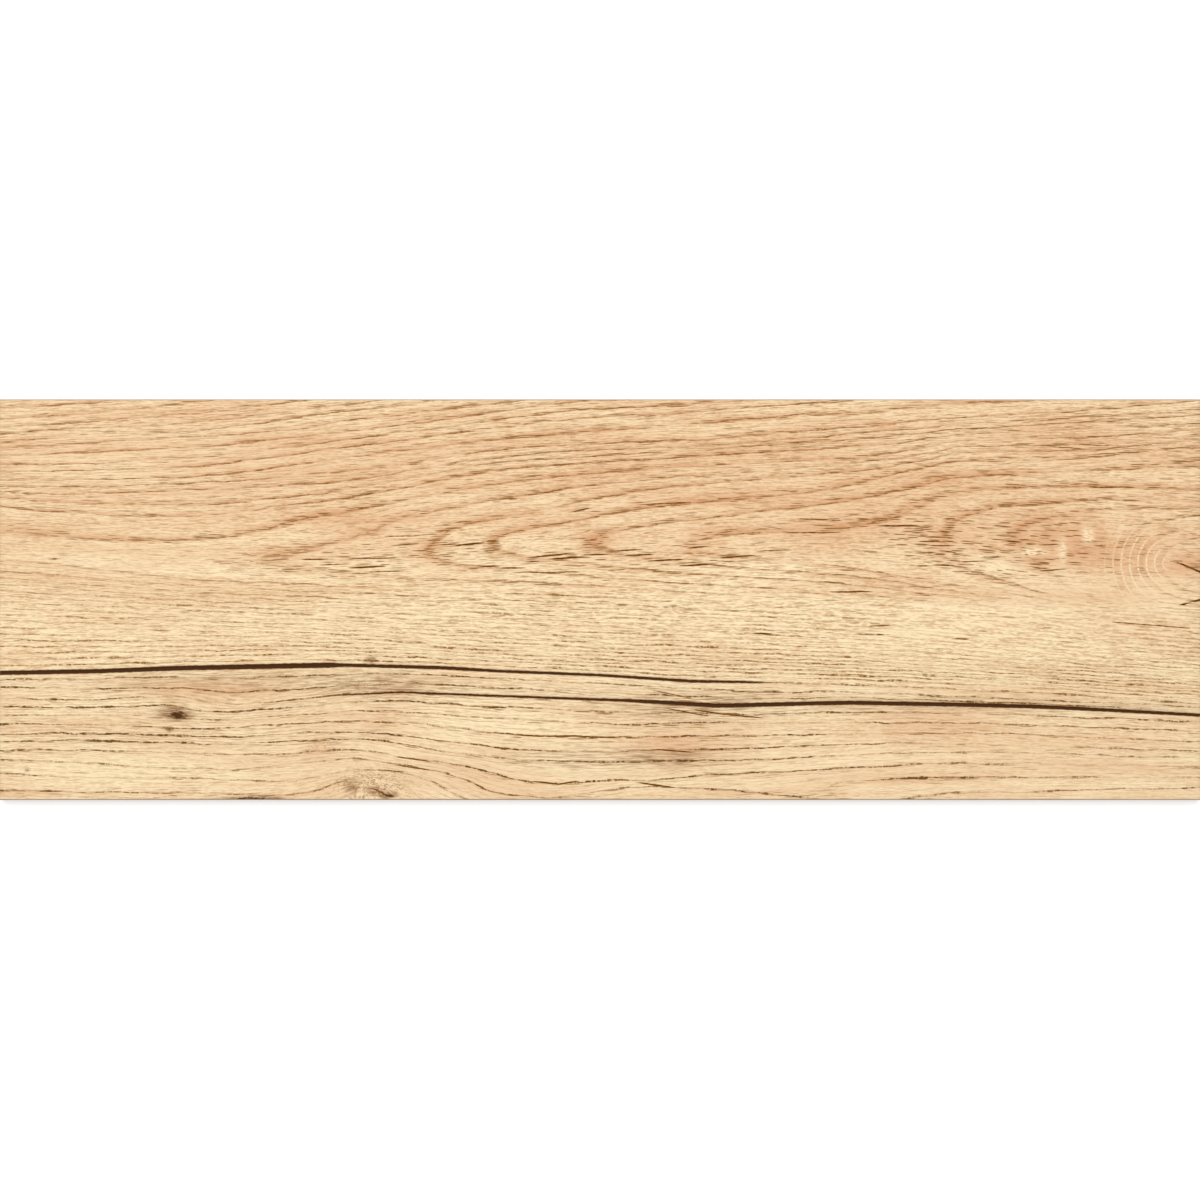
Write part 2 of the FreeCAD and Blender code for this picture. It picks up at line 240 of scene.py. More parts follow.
# The widest pores, cut open lengthwise: start, end and thickness in pixels.
OPEN_PORES = [
    (303, 559.5, 327, 559.3, 1.3), (352, 568, 383, 566.3, 1.6), (350, 559, 395, 558, 0.9),
    (322, 565, 345, 564, 0.8), (370, 572, 402, 571, 0.9), (386, 536.5, 412, 536, 0.8),
    (395, 545.5, 420, 543.5, 1.0), (440, 545, 457, 544, 1.0), (457, 545.5, 482, 543, 1.8),
    (485, 541.5, 499, 541, 1.0), (482, 566.5, 498, 566, 1.5), (502, 568, 522, 568, 1.3),
    (530, 557.5, 566, 554, 1.5), (552, 559, 584, 557, 1.7), (585, 555, 608, 554.5, 1.3),
    (527, 562, 540, 561, 1.0), (525, 572, 560, 573, 1.0), (555, 572, 578, 572, 0.9),
    (618, 551, 640, 549.5, 1.3), (628, 555.5, 652, 554.5, 1.4), (650, 561, 681, 559.5, 1.5),
    (682, 566, 712, 564, 1.6), (690, 548, 706, 546.5, 1.5), (720, 558, 753, 555.5, 1.5),
    (647, 504.5, 690, 502.5, 1.0), (575, 511.5, 588, 508.5, 1.5), (760, 551, 790, 550, 0.8),
    (798, 519, 840, 520.5, 1.0), (785, 533, 838, 532.5, 0.9), (880, 526, 910, 526, 1.4),
    (833, 592, 869, 591.5, 1.3), (900, 525.5, 918, 525.5, 1.0), (925, 537, 946, 537.5, 1.0),
    (920, 541.5, 938, 541.5, 1.1), (930, 545.5, 950, 546, 1.0), (916, 553, 934, 553, 1.1),
    (936, 565, 952, 565.5, 1.5), (918, 566, 928, 566, 1.2), (982, 557.5, 1000, 557, 1.5),
    (960, 562, 985, 561, 1.0), (1004, 541, 1018, 542, 1.5), (1050, 447, 1078, 448.5, 0.7),
    (1075, 444.5, 1106, 446, 0.7), (1040, 545, 1062, 544.5, 1.0), (1082, 542, 1092, 542, 1.4),
    (1096, 546, 1102, 546, 1.4), (1040, 571, 1065, 569, 1.0), (1090, 488, 1130, 487, 1.0),
    (753, 633, 772, 634, 1.4), (855, 634, 885, 634.5, 1.2), (870, 626, 888, 625.5, 1.0),
    (955, 638.5, 967, 639, 1.3), (1177, 563, 1190, 568, 2.0), (1189, 567.6, 1206, 575.5, 2.6),
    (1180, 605, 1187, 603, 1.8), (1192, 601.5, 1206, 598, 2.2), (52, 559, 58, 559, 1.3),
    (513, 734.5, 545, 736, 1.3), (545, 736, 580, 735.5, 1.5), (578, 736, 618, 737.5, 1.3),
    (534, 781, 560, 784, 1.5), (560, 783.5, 577, 781, 1.4), (640, 782.5, 672, 787, 1.5),
    (655, 749, 692, 752, 1.3), (668, 708.5, 706, 715.5, 1.2), (694, 709.5, 724, 714.2, 1.3),
    (655, 690.5, 690, 698, 0.8), (724, 714.2, 760, 717.5, 1.2), (397, 756.5, 430, 761, 1.2),
    (398, 765, 431, 770, 1.0), (378, 769.5, 404, 771.5, 0.9), (374, 788, 390, 796.5, 2.6),
    (1112, 622, 1187, 628, 0.8),
]

# The face's mesh is closer across the grain than along it, because the figure changes faster that way.
COLUMNS, ROWS = 220, 380
column_x = np.linspace(ARRIS - half_length, half_length - ARRIS, COLUMNS)
row_y = np.linspace(ARRIS - half_width, half_width - ARRIS, ROWS)
face_x, face_y = np.meshgrid(column_x, row_y)
pixel_x = PHOTO_CENTRE_X + face_x / PIXEL
pixel_y = PHOTO_CENTRE_Y - face_y / PIXEL

# Grain changes slowly along the board, so lengths count for less than heights between two points of it.
# A picked line is held at points this many pixels apart.
GRAIN_STRETCH = 4.0
POINT_SPACING = 24.0
TILT_SCALE = 1000
LOG_GUARD = 1e-9


def plate_bend(here, there):
    """How a thin plate held at one set of points bends at another."""
    run = (here[:, None, 0] - there[None, :, 0]) / GRAIN_STRETCH
    rise = here[:, None, 1] - there[None, :, 1]
    square = run * run + rise * rise
    return 0.5 * square * np.log(square + LOG_GUARD)


def smooth_field(lines, give):
    """The value at each point of the face of a thin plate that is bent to pass the lines' values."""
    held, values = [], []
    for value, points in lines:
        points = np.array(points, float)
        reach = np.append(0, np.cumsum(np.hypot(*np.diff(points, axis=0).T)))
        stops = np.linspace(0, reach[-1], max(2, int(reach[-1] / POINT_SPACING) + 1))
        held.append(np.column_stack([np.interp(stops, reach, points[:, axis]) for axis in (0, 1)]))
        values.append(np.full(len(stops), float(value)))
    held = np.concatenate(held)
    count = len(held)
    plane = np.column_stack([np.ones(count), held / TILT_SCALE])
    system = np.zeros((count + 3, count + 3))
    system[:count, :count] = plate_bend(held, held) + give * np.eye(count)
    system[:count, count:] = plane
    system[count:, :count] = plane.T
    weights = np.linalg.solve(system, np.append(np.concatenate(values), np.zeros(3)))
    field = np.empty(face_x.shape)
    for row in range(ROWS):
        here = np.column_stack([pixel_x[row], pixel_y[row]])
        tilt = np.column_stack([np.ones(COLUMNS), here / TILT_SCALE])
        field[row] = plate_bend(here, held) @ weights[:count] + tilt @ weights[count:]
    return field


def patches(spots):
    """The sum of soft elliptical patches over the face."""
    total = np.zeros(face_x.shape)
    for centre_x, centre_y, half_run, half_rise, strength in spots:
        run, rise = (pixel_x - centre_x) / half_run, (pixel_y - centre_y) / half_rise
        total += strength * np.exp(-run * run - rise * rise)
    return total


# Rings may pass a picked line by more than fibres may. Gaps from ring to ring are in millimetres.
RING_GIVE, FIBRE_GIVE = 20.0, 2.0
GAP_LEAST, GAP_MOST = 1.2, 25
ring = smooth_field(RINGS, RING_GIVE)
fibre_pixel = smooth_field(FIBRES, FIBRE_GIVE)
fibre_mm = fibre_pixel * PIXEL / MM
ring_y, ring_x = np.gradient(ring, row_y / MM, column_x / MM)
ring_slope = np.hypot(ring_x, ring_y)
ring_gap = np.clip(1 / ring_slope, GAP_LEAST, GAP_MOST)

# Where a ring turns across the fibre, at the points of the cathedrals, its line breaks up into pores.
# The crossing is the sine of the angle between the two.
TURN_START, TURN_SPAN = 0.25, 0.4
fibre_y, fibre_x = np.gradient(fibre_mm, row_y / MM, column_x / MM)
crossing = abs(ring_x * fibre_y - ring_y * fibre_x) / (ring_slope * np.hypot(fibre_x, fibre_y))
turned = np.clip((crossing - TURN_START) / TURN_SPAN, 0, 1)

# The lower part of the board has thin rings, and its foot, under the upper check, has dark ones.
# Each begins at this fibre and blends in over so many pixels.
LOWER_START, LOWER_BLEND = 560, 50
FOOT_START, FOOT_BLEND = 668, 20
UPPER_WARMTH, FOOT_WARMTH = 0.26, 0.15
lower = np.clip((fibre_pixel - LOWER_START) / LOWER_BLEND, 0, 1) * (1 - patches(UNDER_KNOT_PATCHES))
foot = np.clip((fibre_pixel - FOOT_START) / FOOT_BLEND, 0, 1)
warm = patches(WARM_PATCHES) - patches(PALE_PATCHES) + UPPER_WARMTH * (1 - lower) + FOOT_WARMTH * foot

# What the print's material reads at each point of the face, in millimetres where it is a length.
STRENGTH_MOST = 1.6
layers = {
    "ring": ring,
    "ring_gap": ring_gap,
    "ring_strength": np.clip(1 - patches(FAINT_PATCHES) + patches(STRONG_PATCHES), 0, STRENGTH_MOST),
    "turned": turned,
    "upper": 1 - lower,
    "lower": lower,
    "foot": foot,
    "warm": np.clip(warm, -1, 1),
    "arc_count": np.hypot(pixel_x - ARC_CENTRE_X, pixel_y - ARC_CENTRE_Y) / ARC_SPACING,
    **{name: np.clip(patches(spots), 0, 1) for name, spots in ZONES.items()},
}
for number, points in enumerate(CHECKS):
    along, middle, opening = np.array(points).T
    layers[f"check_{number}_offset"] = (pixel_y - np.interp(pixel_x, along, middle)) * PIXEL / MM
    layers[f"check_{number}_half"] = 0.5 * np.interp(pixel_x, along, opening) * PIXEL / MM

# Each point of the face knows the nearest open pore of two sets, so that neighbours don't hide each other.
# A pore is a spindle: part of its thickness at the ends, more in the middle, and a taper beyond the ends.
PORE_SETS = 2
FAR_AWAY, NO_PORE = 99.0, -9.0
PORE_END, PORE_BELLY = 0.25, 0.5
END_TAPER, SIDE_REACH = 8, 2
for number in range(PORE_SETS):
    nearest_offset = np.full(face_x.shape, FAR_AWAY)
    nearest_half = np.full(face_x.shape, NO_PORE)
    for start_x, start_y, end_x, end_y, thickness in OPEN_PORES[number::PORE_SETS]:
        part_way = np.clip((pixel_x - start_x) / (end_x - start_x), 0, 1)
        away = pixel_y - start_y - part_way * (end_y - start_y)
        beyond = np.maximum(np.maximum(start_x - pixel_x, pixel_x - end_x), 0)
        half = thickness * (PORE_END + PORE_BELLY * np.sqrt(part_way * (1 - part_way)))
        half -= beyond / END_TAPER + np.maximum(abs(away) - SIDE_REACH, 0)
        nearer = half - abs(away) > nearest_half - abs(nearest_offset)
        nearest_offset[nearer] = away[nearer]
        nearest_half[nearer] = half[nearer]
    layers[f"pore_{number}_offset"] = nearest_offset * PIXEL / MM
    layers[f"pore_{number}_half"] = nearest_half * PIXEL / MM

# The relief of the press die follows the print, in millimetres: ring lines, knots and checks sink in.
# Rings that are closer than the least gap have no relief, and a check's wall leans in from a small lip.
RING_RELIEF = 0.03
RELIEF_GAP, RELIEF_BLEND = 1.5, 3.0
KNOT_RELIEF = 0.1
CHECK_RELIEF = 0.35
CHECK_LIP, CHECK_WALL = 0.15, 0.5
ring_depth = RING_RELIEF * (0.5 + 0.5 * np.cos(2 * np.pi * ring))
relief = ring_depth * np.clip((ring_gap - RELIEF_GAP) / RELIEF_BLEND, 0, 1) + KNOT_RELIEF * layers["knots"]
for number in range(len(CHECKS)):
    inward = layers[f"check_{number}_half"] - abs(layers[f"check_{number}_offset"])
    relief += CHECK_RELIEF * np.clip((inward + CHECK_LIP) / CHECK_WALL, 0, 1)
face_z = face_height - relief * MM

# Plank tile: the ribbed back
# The lower punch presses a grid of shallow recesses with leaning walls into the back, 18 along and 6 across.
# The ribs between them bear on the floor and key the tile into its adhesive.
BACK_MARGIN = 10 * MM
BACK_RIB = 5 * MM
RECESS_DEPTH = 0.7 * MM
RECESS_CORNER = 3 * MM
RECESS_DRAFT = math.radians(30)
RECESS_COLUMNS, RECESS_ROWS = 18, 6
CORNER_STEPS = 4
recess_length = (2 * (half_length - BACK_MARGIN) - (RECESS_COLUMNS - 1) * BACK_RIB) / RECESS_COLUMNS
recess_width = (2 * (half_width - BACK_MARGIN) - (RECESS_ROWS - 1) * BACK_RIB) / RECESS_ROWS


def recess_outline(inset):
    """A recess's outline about its own centre, anticlockwise from its right lower corner."""
    radius = RECESS_CORNER - inset
    turns = np.linspace(0, np.pi / 2, CORNER_STEPS + 1)
    outline = []
    for quarter, (side_x, side_y) in enumerate([(1, -1), (1, 1), (-1, 1), (-1, -1)]):
        centre_x = side_x * (recess_length / 2 - RECESS_CORNER)
        centre_y = side_y * (recess_width / 2 - RECESS_CORNER)
        for turn in turns + (quarter - 1) * np.pi / 2:
            outline.append((centre_x + radius * np.cos(turn), centre_y + radius * np.sin(turn)))
    return np.array(outline)


mouth = recess_outline(0)
floor_outline = recess_outline(RECESS_DEPTH * math.tan(RECESS_DRAFT))
OUTLINE_POINTS = len(mouth)

# The plate's mesh: face grid, arris loop, foot loop, then the mouths and floors of the recesses.
grid = np.arange(ROWS * COLUMNS).reshape(ROWS, COLUMNS)
rim = np.concatenate([grid[0, :-1], grid[:-1, -1], grid[-1, :0:-1], grid[:0:-1, 0]])
face_points = np.column_stack([face_x.ravel(), face_y.ravel(), face_z.ravel()])
arris_loop = face_points[rim] * (half_length / (half_length - ARRIS), half_width / (half_width - ARRIS), 0)
foot_loop = arris_loop.copy()
arris_loop[:, 2] = face_height - ARRIS
mouth_points, floor_points = [], []
for row in range(RECESS_ROWS):
    for column in range(RECESS_COLUMNS):
        centre = (BACK_MARGIN - half_length + recess_length / 2 + column * (recess_length + BACK_RIB),
                  BACK_MARGIN - half_width + recess_width / 2 + row * (recess_width + BACK_RIB))
        mouth_points.append(np.column_stack([mouth + centre, np.zeros(OUTLINE_POINTS)]))
        floor_points.append(np.column_stack([floor_outline + centre, np.full(OUTLINE_POINTS, RECESS_DEPTH)]))
points = np.concatenate([face_points, arris_loop, foot_loop, *mouth_points, *floor_points])

arris_start = ROWS * COLUMNS
foot_start = arris_start + len(rim)
mouth_start = foot_start + len(rim)
floor_start = mouth_start + len(mouth_points) * OUTLINE_POINTS
rim_here = np.arange(len(rim))


def band(first, second):
    """Quads between two loops of the same length, given as point numbers."""
    return np.column_stack([first, np.roll(first, -1), np.roll(second, -1), second]).tolist()


face_quads = np.column_stack([
    grid[:-1, :-1].ravel(), grid[:-1, 1:].ravel(), grid[1:, 1:].ravel(), grid[1:, :-1].ravel()]).tolist()
edge_quads = band(arris_start + rim_here, rim) + band(foot_start + rim_here, arris_start + rim_here)

# The ribs are the plane of the back less the mouths: triangles with all corners on one mouth are left out.
ALL_TRIANGLES = 0
WELD_DISTANCE = 1e-9
NO_RECESS = -1
back_numbers = np.arange(foot_start, floor_start)
loops = [rim_here] + [len(rim) + start + np.arange(OUTLINE_POINTS)
                      for start in range(0, floor_start - mouth_start, OUTLINE_POINTS)]
back_edges = [pair for loop in loops for pair in np.column_stack([loop, np.roll(loop, -1)]).tolist()]
flat = points[back_numbers, :2].tolist()
_, _, triangles, sources, _, _ = geometry.delaunay_2d_cdt(flat, back_edges, [], ALL_TRIANGLES, WELD_DISTANCE)
back_faces = []
for triangle in triangles:
    corners = [sources[corner][0] for corner in triangle]
    recesses = {(corner - len(rim)) // OUTLINE_POINTS if corner >= len(rim) else NO_RECESS
                for corner in corners}
    if len(recesses) > 1 or NO_RECESS in recesses:
        back_faces.append([int(back_numbers[corner]) for corner in reversed(corners)])
for number in range(len(mouth_points)):
    outline = np.arange(number * OUTLINE_POINTS, (number + 1) * OUTLINE_POINTS)
    back_faces += band(floor_start + outline, mouth_start + outline)
    back_faces.append((floor_start + outline[::-1]).tolist())

mesh = bpy.data.meshes.new("plank_tile_porcelain")
mesh.from_pydata(points.tolist(), [], face_quads + edge_quads + back_faces)
FACE, EDGE, BACK = 0, 1, 2
surface = np.repeat([FACE, EDGE, BACK], [len(face_quads), len(edge_quads), len(back_faces)])
mesh.polygons.foreach_set("material_index", surface)
mesh.polygons.foreach_set("use_smooth", surface == FACE)

# The layers ride on the mesh, and so does the grain: the place along the board, and the fibre it lies on.
for name, layer in layers.items():
    values = np.zeros(len(points), np.float32)
    values[:arris_start] = layer.ravel()
    mesh.attributes.new(name, "FLOAT", "POINT").data.foreach_set("value", values)
run = np.zeros((len(points), 3), np.float32)
run[:arris_start, 0] = face_x.ravel() / MM
run[:arris_start, 1] = fibre_mm.ravel()
mesh.attributes.new("grain", "FLOAT_VECTOR", "POINT").data.foreach_set("vector", run.ravel())

# One flat map for the whole plate: the face takes two thirds of it, then the back and the four sides.
# A quad of the edge goes to the side that its normal points to by more than half.
MAP_EDGE, MAP_SPAN = 0.002, 0.996
FACE_SHARE = 0.68
BACK_START, BACK_SHARE = 0.70, 0.18
SIDE_START, SIDE_STEP, SIDE_SHARE = 0.89, 0.025, 0.02
POINTS_TO_SIDE = 0.5
corner_point = np.empty(len(mesh.loops), int)
mesh.loops.foreach_get("vertex_index", corner_point)
corner_count = np.empty(len(mesh.polygons), int)
mesh.polygons.foreach_get("loop_total", corner_count)
normal = np.empty(3 * len(mesh.polygons))
mesh.polygons.foreach_get("normal", normal)
normal = np.repeat(normal.reshape(-1, 3), corner_count, axis=0)
part = np.repeat(surface, corner_count)
plate_size = (2 * half_length, 2 * half_width, face_height)
share = (points[corner_point] + (half_length, half_width, 0)) / plate_size
flat_u = MAP_EDGE + MAP_SPAN * share[:, 0]
flat_v = np.where(part == FACE, MAP_EDGE + FACE_SHARE * share[:, 1], BACK_START + BACK_SHARE * share[:, 1])
for strip, (axis, side) in enumerate([(1, -1), (1, 1), (0, -1), (0, 1)]):
    on_side = (part == EDGE) & (side * normal[:, axis] > POINTS_TO_SIDE)
    flat_u[on_side] = MAP_EDGE + MAP_SPAN * share[on_side, 1 - axis]
    flat_v[on_side] = SIDE_START + SIDE_STEP * strip + SIDE_SHARE * share[on_side, 2]
mesh.uv_layers.new(name="OFBake").data.foreach_set("uv", np.column_stack([flat_u, flat_v]).ravel())


def linear(hex_colour):
    """An sRGB hex colour as linear RGBA."""
    parts = [int(hex_colour[start:start + 2], 16) / 255 for start in (1, 3, 5)]
    return (*(part / 12.92 if part <= 0.04045 else ((part + 0.055) / 1.055) ** 2.4 for part in parts), 1)


def nodes_of(owner):
    """Empties the nodes of a material or world, and returns the function that adds one to them."""
    owner.use_nodes = True
    tree = owner.node_tree
    tree.nodes.clear()

    def add_node(kind, inputs, out=0, **settings):
        """Adds a node with its settings, sets or links its inputs, and returns one of its outputs.

        Inputs are a list in the node's own order, or go by name or number: 1 to 4 of a MapRange are the
        least and the most that it takes in and that it gives out, and 6 and 7 of a Mix are its colours.
        """
        made = tree.nodes.new("ShaderNode" + kind)
        for setting, value in settings.items():
            setattr(made, setting, value)
        for socket, value in inputs.items() if isinstance(inputs, dict) else enumerate(inputs):
            if isinstance(value, bpy.types.NodeSocket):
                tree.links.new(value, made.inputs[socket])
            else:
                made.inputs[socket].default_value = value
        return made.outputs[out] if made.outputs else None

    return add_node


def per_mm(length, height):
    """What turns a place in millimetres into a count of marks of this length and height."""
    return (1 / length, 1 / height, 1)


# Matt glaze over an ink-jet oak print: hardly any gloss, a warm straw ground, and brown pores and rings with
# soft ends. Oak's fibres are 0.02 mm and its pores 0.3 mm wide, too fine to show, so they are drawn coarser.
PALE_STRAW = linear("#FFE8BE")
WARM_TAN = linear("#E6B58B")
FIBRE_TAN = linear("#C48C54")
RING_TAN = linear("#C48C5A")
RING_BROWN = linear("#845616")
LINE_TAN = linear("#8C5E1A")
LINE_BROWN = linear("#54402A")
PORE_TAN = linear("#A0661E")
PORE_BROWN = linear("#5A3303")
CHECK_BROWN = linear("#45280E")
STAIN_GREY = linear("#8E6C48")
FLECK_CREAM = linear("#FFE6BC")
KNOT_GREY = linear("#8C6236")
KNOT_BROWN = linear("#4C2E0E")
SILICATE_IOR = 1.5
GLAZE_SHEEN = 0.08
SOFT = {"interpolation_type": "SMOOTHSTEP"}

glaze = bpy.data.materials.new("matt_glazed_oak_print")
node = nodes_of(glaze)
grain = node("Attribute", {}, "Vector", attribute_name="grain")
along_mm = node("SeparateXYZ", [grain])
drawn = {name: node("Attribute", {}, "Fac", attribute_name=name) for name in layers}

# Patterns along the fibre: turn of the lattice, so that no two line up, length and height of one mark in
# millimetres, and number and strength of its finer sizes.
FIBRE_PATTERNS = {
    "wander": (0.5, 16, 3, 2, 0.5),
    "frayed": (-0.6, 2.5, 0.8, 2, 0.5),
    "streak": (0.55, 40, 1.2, 3, 0.6),
    "thread": (-0.75, 13, 0.6, 2, 0.65),
    "speck": (0.4, 3.4, 0.5, 1, 0.5),
    "cloud": (0.6, 90, 12, 3, 0.5),
}
pattern = {}
for name, (turn, length, height, finer, finer_strength) in FIBRE_PATTERNS.items():
    place = node("Mapping", {0: grain, 2: (0, 0, turn), 3: per_mm(length, height)})
    pattern[name] = node("TexNoise", {
        "Vector": place, "Scale": 1, "Detail": finer, "Roughness": finer_strength}, noise_dimensions="2D")

# Ring lines wander by a millimetre to either side, and their edges are frayed.
WANDER_MM, FRAY_MM = 2.0, 0.5
wander_mm = node("Math", [pattern["wander"], WANDER_MM, -WANDER_MM / 2], operation="MULTIPLY_ADD")
frayed_mm = node("Math", [pattern["frayed"], FRAY_MM, -FRAY_MM / 2], operation="MULTIPLY_ADD")
shift_mm = node("Math", [wander_mm, frayed_mm], operation="ADD")
shift = node("Math", [shift_mm, drawn["ring_gap"]], operation="DIVIDE")
ring_at = node("Math", [drawn["ring"], shift], operation="ADD")
ring_phase = node("Math", [ring_at, 0.5, -0.5], operation="WRAP")
ring_mm = node("Math", [ring_phase, drawn["ring_gap"]], operation="MULTIPLY")

# Patterns along the rings: length of one mark in millimetres, marks from ring to ring, and the finer sizes.
RING_PATTERNS = {"firm": (55, 1.4, 2, 0.5), "runs": (8, 1.6, 1, 0.5), "beads": (2.4, 2.0, 2, 0.7)}
along_ring = node("CombineXYZ", [along_mm, ring_at])
for name, (length, per_ring, finer, finer_strength) in RING_PATTERNS.items():
    place = node("Mapping", {0: along_ring, 3: (1 / length, per_ring, 1)})
    pattern[name] = node("TexNoise", {
        "Vector": place, "Scale": 1, "Detail": finer, "Roughness": finer_strength}, noise_dimensions="2D")

# Fibre: long streaks, short fine threads over them and a speckle over both.
streak_dark = node("MapRange", {0: pattern["streak"], 1: 0.42, 2: 0.75, 4: 0.3})
thread_dark = node("MapRange", {0: pattern["thread"], 1: 0.46, 2: 0.66, 4: 1.2})
thread_break = node("MapRange", [pattern["speck"], 0.36, 0.6, 0.35, 1.3])
speck_part = node("MapRange", [pattern["speck"], 0.3, 0.7, -0.26, 0.36])
speck_share = node("MapRange", [pattern["streak"], 0.38, 0.6, 0.35, 1.25])
speck_dark = node("Math", [speck_part, speck_share], operation="MULTIPLY")
fibre_part = node("Math", [thread_dark, thread_break, speck_dark], operation="MULTIPLY_ADD")
fibre_dark = node("Math", [streak_dark, fibre_part], operation="ADD", use_clamp=True)

# Each ring firms up and fades along its length, breaks into short runs, and in the upper part into threads.
firm = node("MapRange", [pattern["firm"], 0.34, 0.58, 0.25, 1.0])
ring_firm = node("Math", [firm, drawn["ring_strength"]], operation="MULTIPLY")
runs_least = node("MapRange", {0: drawn["loose"], 3: 0.4, 4: -0.3})
runs_part = node("MapRange", [pattern["runs"], 0.36, 0.58, runs_least, 1.0])
runs = node("Math", [runs_part, 0.0], operation="MAXIMUM")
between_threads = node("MapRange", [pattern["thread"], 0.4, 0.6, 0.1, 1.0])
thread_gaps = node("Math", [between_threads, drawn["lower"]], operation="MAXIMUM")
line_kept = node("MapRange", {0: drawn["turned"], 3: 1.0, 4: 0.25})
line_firm = ring_firm
for factor in (runs, thread_gaps, line_kept):
    line_firm = node("Math", [line_firm, factor], operation="MULTIPLY")

# A ring's own line, this many millimetres to either side of its middle, with a dark core at the foot.
UPPER_LINE, LOWER_LINE = 0.52, 0.55
line_width = node("MapRange", {0: drawn["lower"], 3: UPPER_LINE, 4: LOWER_LINE})
line_away = node("Math", [ring_mm], operation="ABSOLUTE")
line_share = node("Math", [line_away, line_width], operation="DIVIDE")
line_shape = node("MapRange", [line_share, 1.0, 0.3], **SOFT)
beads = node("MapRange", [pattern["beads"], 0.38, 0.56, 0.3, 1.1])
line_less = node("MapRange", {0: drawn["pore_zone"], 3: 1.0, 4: 0.45})
line_ink = line_shape
for factor in (beads, line_less, line_firm):
    line_ink = node("Math", [line_ink, factor], operation="MULTIPLY")
core_part = node("MapRange", {0: line_ink, 1: 0.3, 2: 0.9, 4: 0.75})
line_core = node("Math", [core_part, drawn["foot"]], operation="MULTIPLY")

# Finer lines that part the gap from ring to ring in three, in the upper part and more faintly at the foot.
LINES_PER_RING = 3.0
FOOT_THIRDS = 0.6
third_at = node("Math", [ring_at, LINES_PER_RING], operation="MULTIPLY")
third_phase = node("Math", [third_at, 0.5, -0.5], operation="WRAP")
third_mm = node("Math", [third_phase, drawn["ring_gap"]], operation="MULTIPLY")
third_away = node("Math", [third_mm], operation="ABSOLUTE")
third_shape = node("MapRange", [third_away, 1.0, 0.3], **SOFT)
third_part = node("Math", [third_shape, line_firm], operation="MULTIPLY")
third_share = node("Math", [drawn["foot"], FOOT_THIRDS, drawn["upper"]], operation="MULTIPLY_ADD")
third_ink = node("Math", [third_part, third_share], operation="MULTIPLY")

# The band beside the line, where pores crowd: it reaches in by a part of the gap, and thins outwards over
# another part of it or over the most millimetres, whichever is less.
BAND_IN, BAND_OUT = 0.14, 0.42
BAND_MOST_MM = 4.5
inner_side = node("MapRange", [ring_phase, -BAND_IN, 0.0], **SOFT)
outer_part = node("Math", [ring_phase, 1 / BAND_OUT], operation="MULTIPLY")
outer_most = node("Math", [ring_mm, 1 / BAND_MOST_MM], operation="MULTIPLY")
outer_share = node("Math", [outer_part, outer_most], operation="MAXIMUM")
outer_side = node("MapRange", [outer_share, 1.0, 0.0], **SOFT)
ring_band = node("Math", [inner_side, outer_side], operation="MULTIPLY")
ring_ink = node("Math", [ring_band, ring_firm], operation="MULTIPLY")
band_share = node("Math", [drawn["lower"], -0.7, 1.0], operation="MULTIPLY_ADD")
upper_ink = node("Math", [ring_ink, band_share], operation="MULTIPLY")
foot_share = node("Math", [drawn["foot"], 0.25, band_share], operation="MULTIPLY_ADD")
dash_share = node("Math", [drawn["turned"], 0.4, foot_share], operation="MULTIPLY_ADD")
loose_crowd = node("Math", [drawn["loose"], 0.06], operation="MULTIPLY")

# Pores cut lengthwise are dashes, a long kind and a short one: turn of the lattice, length and height in
# millimetres, the share of them that shows between the rings, and the share added on a ring.
DASH_KINDS = [(0.8, 12, 0.7, 0.07, 0.42), (-0.65, 7, 0.55, 0.08, 0.3)]
dash_marks = []
for turn, length, height, between, on_ring in DASH_KINDS:
    place = node("Mapping", {0: grain, 2: (0, 0, turn), 3: per_mm(length, height)})
    dash = node("TexVoronoi", {"Vector": place, "Scale": 1}, "Distance", voronoi_dimensions="2D")
    lot = node("SeparateXYZ", [dash.node.outputs["Color"]])
    crowd_part = node("Math", [ring_ink, on_ring, between], operation="MULTIPLY_ADD")
    crowd = node("Math", [crowd_part, dash_share, loose_crowd], operation="MULTIPLY_ADD")
    drawn_lot = node("Math", [crowd, lot], operation="SUBTRACT")
    dark = node("MapRange", [drawn_lot, -0.08, 0.15], **SOFT)
    shape = node("MapRange", [dash, 0.45, 0.25], **SOFT)
    dash_marks.append(node("Math", [dark, shape], operation="MULTIPLY"))
dash_mark = node("Math", [dash_marks[0], dash_marks[1]], operation="MAXIMUM")

# How far inside an open pore or a check each point lies, in millimetres.
inside = {}
for mark, count in (("pore", PORE_SETS), ("check", len(CHECKS))):
    depths = []
    for number in range(count):
        away = node("Math", [drawn[f"{mark}_{number}_offset"]], operation="ABSOLUTE")
        depths.append(node("Math", [drawn[f"{mark}_{number}_half"], away], operation="SUBTRACT"))
    inside[mark] = node("Math", [depths[0], depths[1]], operation="MAXIMUM")

